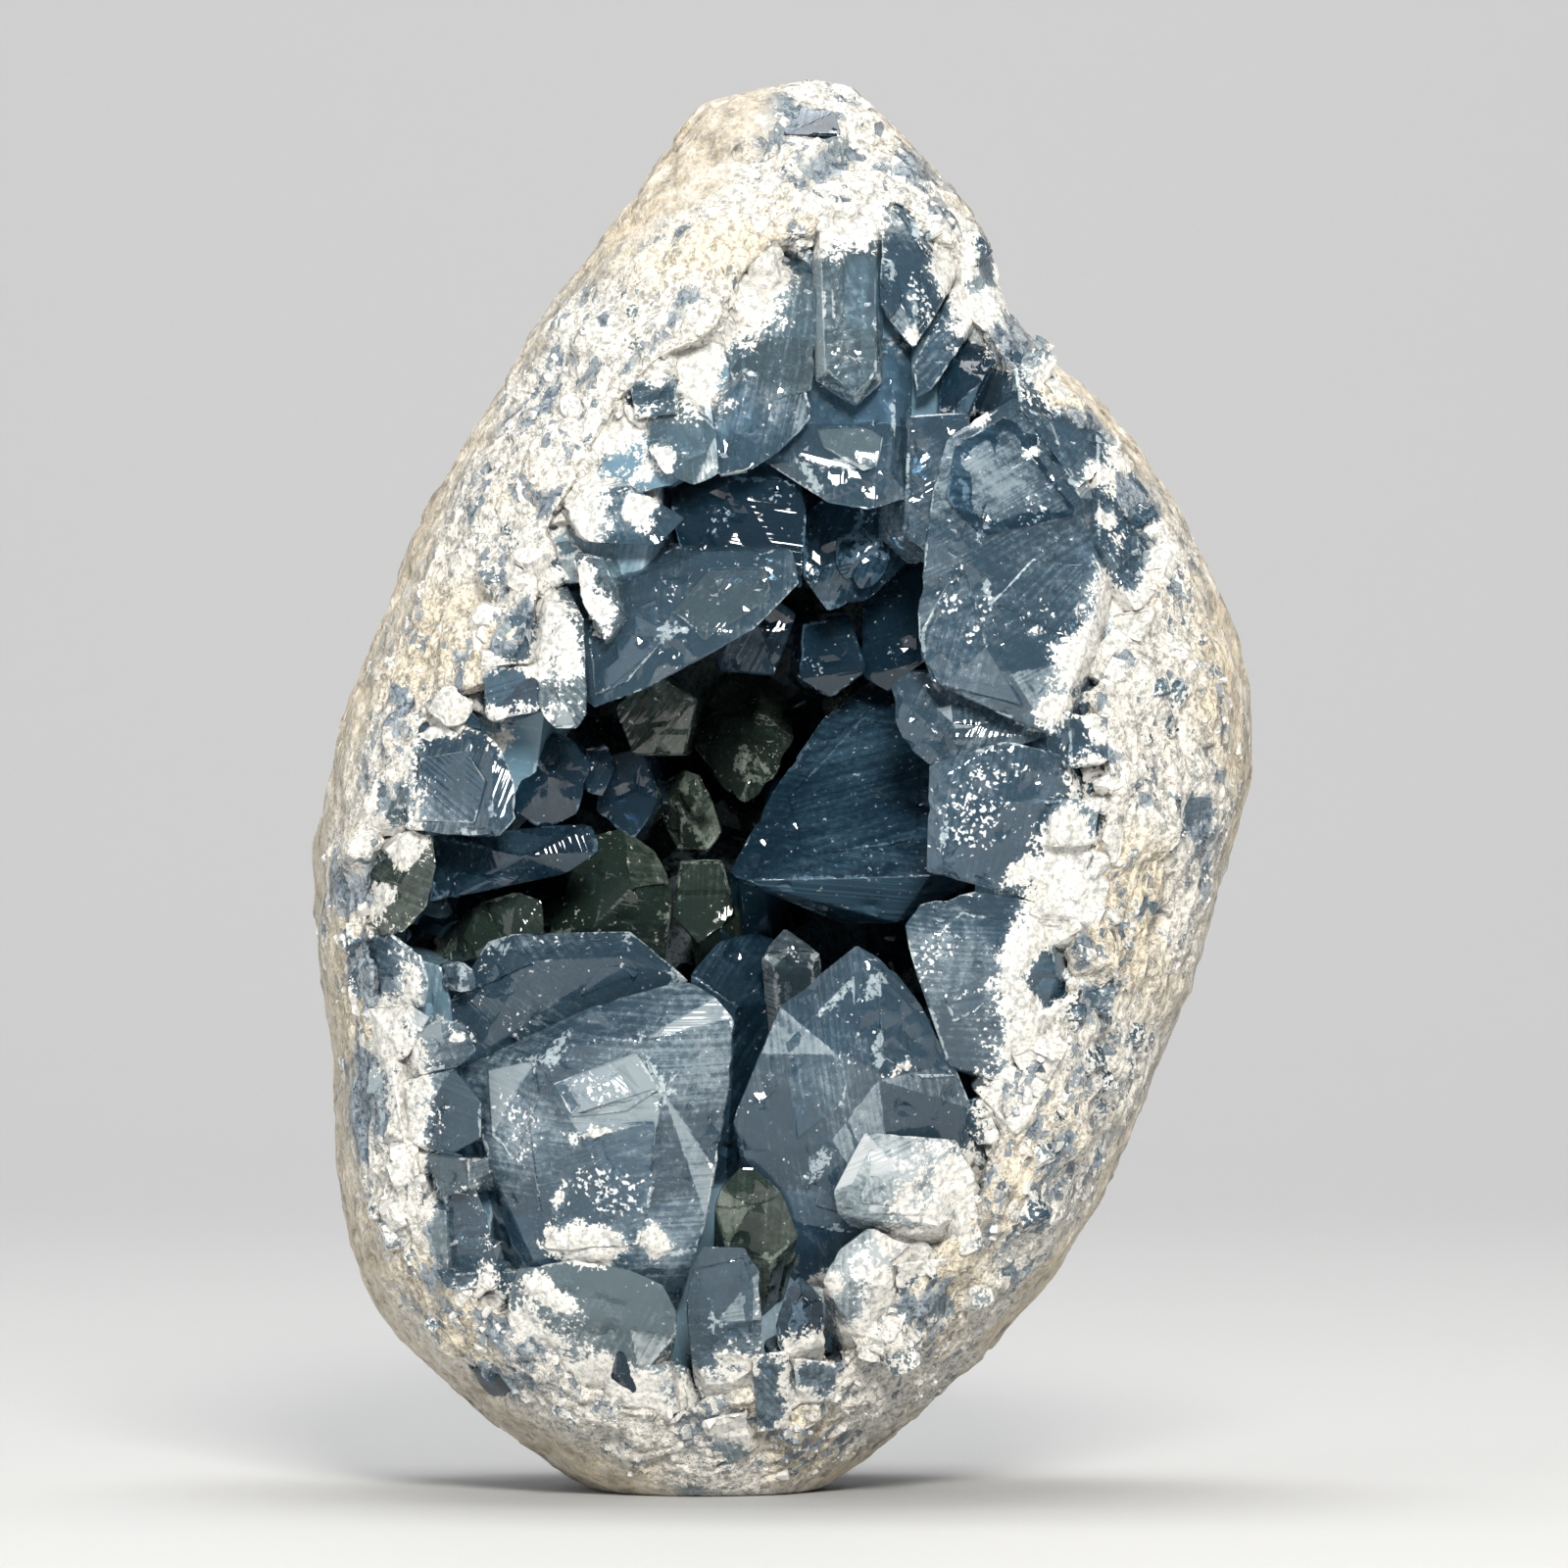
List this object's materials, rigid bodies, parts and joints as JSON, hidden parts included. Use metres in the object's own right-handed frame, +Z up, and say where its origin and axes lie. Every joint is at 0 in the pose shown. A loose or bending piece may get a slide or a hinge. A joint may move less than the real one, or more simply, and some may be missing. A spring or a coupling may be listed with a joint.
{
  "type": "celestite geode",
  "caption": "Egg-shaped celestite geode broken open at the front, with large pale blue crystals lining its hollow, standing on a small flat spot.",
  "frame": {"origin": "centre of the bounding box's underside, on the surface that the geode stands on", "axes": "+Z up along the geode's height; -Y is the way the hollow opens; +X to the right seen from the front"},
  "size_m": [0.1001, 0.0838, 0.15],
  "materials": {
    "matrix": "rough granular skin, sugary white where broken",
    "celestite": "clear to hazy crystal with glassy faces"
  },
  "bodies": {
    "root": {"rind": "matrix", "crystal_crust": "celestite"}
  },
  "joints": []
}
